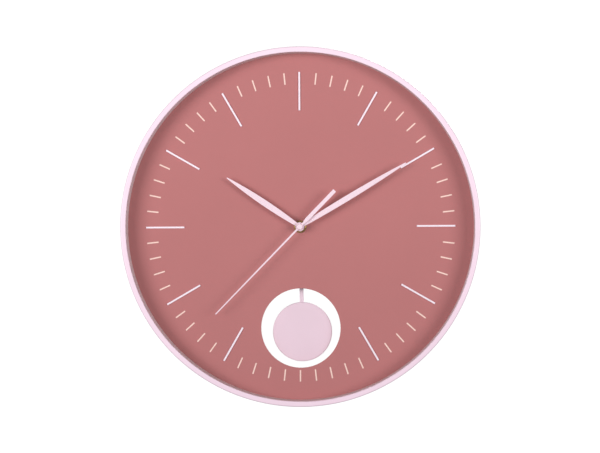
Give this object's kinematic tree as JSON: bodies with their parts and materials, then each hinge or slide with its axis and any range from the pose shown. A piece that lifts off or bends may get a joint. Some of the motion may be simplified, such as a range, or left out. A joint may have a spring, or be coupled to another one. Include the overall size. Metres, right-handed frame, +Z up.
{
  "type": "pendulum wall clock",
  "caption": "Round battery wall clock with a deep rim, a recessed dial with applied bars, three hands, and a pendulum that swings behind a round window in the dial.",
  "frame": {"origin": "the hands' axis where it meets the wall plane, on the back ring's rear face", "axes": "+Z up, +X to the right as the viewer faces the dial, +Y into the wall; the dial faces -Y"},
  "size_m": [0.4, 0.044, 0.4],
  "materials": {
    "case_paint": "satin pale pink",
    "lens_glass": "polished",
    "dial_paint": "matte dusty pink",
    "bar_paint": "satin pale pink",
    "back_plastic": "fine moulded texture",
    "zinc_steel": "zinc plated",
    "hanger_steel": "zinc plated",
    "movement_plastic": "moulded black",
    "brass": "turned",
    "washer_rubber": "black",
    "board_resin": "green solder mask",
    "chip_resin": "resin drop",
    "nickel": "nickel plated",
    "battery_sleeve": "printed sleeve, no lettering",
    "stator_steel": "bare steel",
    "bobbin_plastic": "natural",
    "copper_wire": "enamelled copper",
    "gear_plastic": "natural acetal",
    "magnet": "sintered",
    "hand_paint": "satin pale pink",
    "hanger_plastic": "natural acetal",
    "rod_paint": "satin pale pink",
    "bob_paint": "satin pale pink"
  },
  "bodies": {
    "root": {"case_ring": "case_paint", "spacer_ring": "case_paint", "lens": "lens_glass", "dial": "dial_paint", "hour_bars": "bar_paint", "back_ring": "back_plastic", "case_screws": "zinc_steel", "hanger_screws": "zinc_steel", "movement_screws": "zinc_steel", "hanger_plate": "hanger_steel", "movement_front_case": "movement_plastic", "movement_back_cover": "movement_plastic", "threaded_bush": "brass", "nut_washer": "brass", "centre_nut": "brass", "rubber_washer": "washer_rubber", "circuit_board": "board_resin", "clock_chip": "chip_resin", "quartz_crystal": "nickel", "contact_minus": "nickel", "contact_plus": "nickel", "battery": "battery_sleeve", "stator": "stator_steel", "pivot_pin": "stator_steel", "motor_bobbin": "bobbin_plastic", "drive_bobbin": "bobbin_plastic", "motor_winding": "copper_wire", "drive_winding": "copper_wire"},
    "second": {"second_wheel": "gear_plastic", "second_arbor": "stator_steel", "second_hand": "hand_paint", "second_hand_cap": "hand_paint"},
    "minute": {"minute_wheel": "gear_plastic", "minute_hand": "hand_paint"},
    "hour": {"hour_wheel": "gear_plastic", "hour_hand": "hand_paint"},
    "third": {"third_wheel": "gear_plastic"},
    "setting": {"setting_wheel": "gear_plastic", "setting_knob": "gear_plastic"},
    "intermediate": {"intermediate_wheel": "gear_plastic"},
    "rotor": {"rotor_pinion": "gear_plastic", "rotor_magnet": "magnet"},
    "pendulum": {"pendulum_hanger": "hanger_plastic", "pendulum_magnet": "magnet", "pendulum_rod": "rod_paint", "bob_clip": "hanger_plastic", "pendulum_bob": "bob_paint"}
  },
  "joints": [
    {"name": "second_hand_turn", "type": "hinge", "parent": "root", "child": "second", "pos_m": [0, 0, 0], "axis": [0, 1, 0], "continuous": true},
    {"name": "rotor_turn", "type": "hinge", "parent": "root", "child": "rotor", "pos_m": [-0.01384, 0, -0.00509], "axis": [0, 1, 0], "continuous": true},
    {"name": "intermediate_turn", "type": "hinge", "parent": "root", "child": "intermediate", "pos_m": [-0.00875, 0, 0], "axis": [0, 1, 0], "continuous": true},
    {"name": "third_wheel_turn", "type": "hinge", "parent": "root", "child": "third", "pos_m": [0, 0, -0.00864], "axis": [0, 1, 0], "continuous": true},
    {"name": "minute_hand_turn", "type": "hinge", "parent": "root", "child": "minute", "pos_m": [0, 0, 0], "axis": [0, 1, 0], "continuous": true},
    {"name": "setting_knob_turn", "type": "hinge", "parent": "root", "child": "setting", "pos_m": [0.0087, 0, 0], "axis": [0, 1, 0], "continuous": true},
    {"name": "hour_hand_turn", "type": "hinge", "parent": "root", "child": "hour", "pos_m": [0, 0, 0], "axis": [0, 1, 0], "continuous": true},
    {"name": "pendulum_swing", "type": "hinge", "parent": "root", "child": "pendulum", "pos_m": [0, 0, -0.045], "axis": [0, 1, 0], "range_deg": [-8.95, 11.05]}
  ],
  "couplings": [
    {"joint": "rotor_turn", "follows": "second_hand_turn", "ratio": 30},
    {"joint": "intermediate_turn", "follows": "second_hand_turn", "ratio": -6},
    {"joint": "third_wheel_turn", "follows": "second_hand_turn", "ratio": -0.13333},
    {"joint": "minute_hand_turn", "follows": "second_hand_turn", "ratio": 0.016667},
    {"joint": "setting_knob_turn", "follows": "second_hand_turn", "ratio": -0.0055556},
    {"joint": "hour_hand_turn", "follows": "second_hand_turn", "ratio": 0.0013889}
  ]
}
